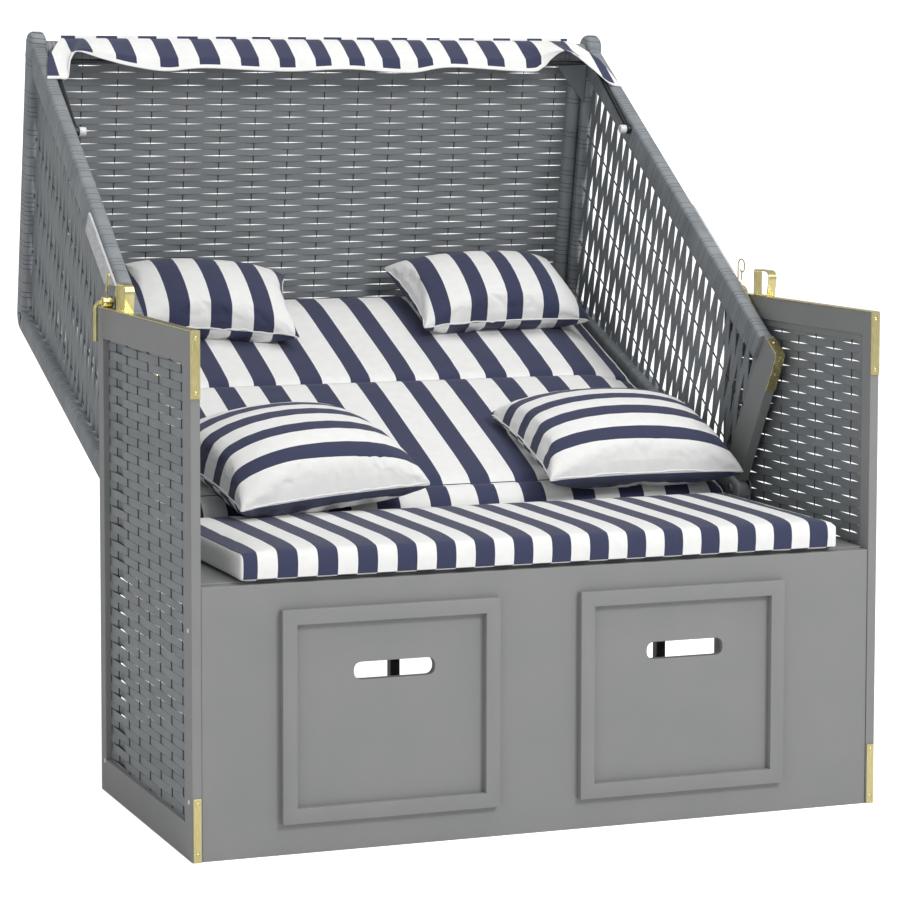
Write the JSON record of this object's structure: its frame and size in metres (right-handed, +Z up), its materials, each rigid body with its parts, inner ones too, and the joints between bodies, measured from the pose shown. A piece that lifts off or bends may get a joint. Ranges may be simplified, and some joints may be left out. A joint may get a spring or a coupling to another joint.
{
  "type": "hooded beach chair",
  "caption": "Hooded beach chair with reclining woven hood, woven side walls, folding awning, pull-out footrests, striped seat and back cushions and loose pillows.",
  "frame": {"origin": "on the floor, middle of the front panel's bottom face", "axes": "+X to the right seen from the front, +Y to the rear, +Z up; the hood is fully reclined at rest"},
  "size_m": [1.2136, 1.2456, 1.2902],
  "materials": {
    "painted_wood": "satin paint",
    "woven_cane": "woven cane",
    "brass": "polished",
    "wrapped_rail": "wrapped in synthetic cane",
    "steel": "plain",
    "pale_wood": "satin paint",
    "black_steel": "satin powder coat",
    "pale_plastic": "satin",
    "awning_fabric": "striped canvas",
    "cushion_fabric": "striped canvas"
  },
  "bodies": {
    "base": {"wall_frame_right": "painted_wood", "wall_frame_left": "painted_wood", "wall_weave_right": "woven_cane", "wall_weave_left": "woven_cane", "wall_fitting_right": "brass", "wall_fitting_left": "brass", "foot_plate_right": "brass", "foot_plate_left": "brass", "front_panel": "painted_wood", "seat_board": "painted_wood", "rear_beam": "painted_wood", "floor_beam": "painted_wood", "footrest_runner_left": "painted_wood", "footrest_runner_right": "painted_wood", "pivot_plate_right": "steel", "pivot_plate_left": "steel", "seat_cushion": "cushion_fabric"},
    "lock_pin_right": {"lock_pin_right": "brass"},
    "lock_pin_left": {"lock_pin_left": "brass"},
    "lock_clip_right": {"lock_clip_right": "brass"},
    "lock_clip_left": {"lock_clip_left": "brass"},
    "footrest_left": {"footrest_front_left": "painted_wood", "footrest_moulding_left": "painted_wood", "footrest_platform_left": "painted_wood", "footrest_legs_left": "painted_wood"},
    "footrest_right": {"footrest_front_right": "painted_wood", "footrest_moulding_right": "painted_wood", "footrest_platform_right": "painted_wood", "footrest_legs_right": "painted_wood"},
    "hood": {"hood_frame_right": "wrapped_rail", "hood_frame_left": "wrapped_rail", "hood_top_rail": "wrapped_rail", "hood_corner_rail": "wrapped_rail", "hood_lower_slat": "painted_wood", "hood_gusset_right": "wrapped_rail", "hood_gusset_left": "wrapped_rail", "hood_side_weave_right": "woven_cane", "hood_side_weave_left": "woven_cane", "hood_roof_weave": "woven_cane", "hood_back_weave": "woven_cane", "cheek_right": "painted_wood", "cheek_left": "painted_wood", "cheek_strap_right": "brass", "cheek_strap_left": "brass", "pivot_bolt_right": "steel", "pivot_bolt_left": "steel", "side_slat_right": "pale_wood", "side_slat_left": "pale_wood", "slat_strap_right": "brass", "slat_strap_left": "brass", "awning_knob_right": "pale_plastic", "awning_knob_left": "pale_plastic", "back_cushion": "cushion_fabric", "neck_pillow_left": "cushion_fabric", "neck_pillow_right": "cushion_fabric"},
    "awning": {"awning_bow": "black_steel", "awning_cloth": "awning_fabric"},
    "lumbar_pillow_left": {"lumbar_pillow_left": "cushion_fabric"},
    "lumbar_pillow_right": {"lumbar_pillow_right": "cushion_fabric"}
  },
  "joints": [
    {"name": "hood_recline", "type": "hinge", "parent": "base", "child": "hood", "pos_m": [0, 0.44075, 0.47413], "axis": [1, 0, 0], "range_deg": [0, 60]},
    {"name": "awning_swing", "type": "hinge", "parent": "hood", "child": "awning", "pos_m": [0, 0.88628, 1.10963], "axis": [1, 0, 0], "range_deg": [0, 75], "deforming": ["awning_cloth"]},
    {"name": "footrest_left_slide", "type": "slide", "parent": "base", "child": "footrest_left", "axis": [0, -1, 0], "range_m": [0, 0.38]},
    {"name": "footrest_right_slide", "type": "slide", "parent": "base", "child": "footrest_right", "axis": [0, -1, 0], "range_m": [0, 0.38]},
    {"name": "lock_pin_left_slide", "type": "slide", "parent": "base", "child": "lock_pin_left", "axis": [-1, 0, 0], "range_m": [0, 0.025]},
    {"name": "lock_clip_left_slide", "type": "slide", "parent": "base", "child": "lock_clip_left", "axis": [0, 0, 1], "range_m": [0, 0.04]},
    {"name": "lock_pin_right_slide", "type": "slide", "parent": "base", "child": "lock_pin_right", "axis": [1, 0, 0], "range_m": [0, 0.025]},
    {"name": "lock_clip_right_slide", "type": "slide", "parent": "base", "child": "lock_clip_right", "axis": [0, 0, 1], "range_m": [0, 0.04]},
    {"name": "lumbar_left_tip", "type": "hinge", "parent": "base", "child": "lumbar_pillow_left", "pos_m": [0, 0.2515, 0.484], "axis": [1, 0, 0], "range_deg": [0, 60]},
    {"name": "lumbar_right_tip", "type": "hinge", "parent": "base", "child": "lumbar_pillow_right", "pos_m": [0, 0.3345, 0.484], "axis": [1, 0, 0], "range_deg": [0, 60]}
  ],
  "couplings": [
    {"joint": "lumbar_left_tip", "follows": "hood_recline", "ratio": 1},
    {"joint": "lumbar_right_tip", "follows": "hood_recline", "ratio": 1}
  ]
}
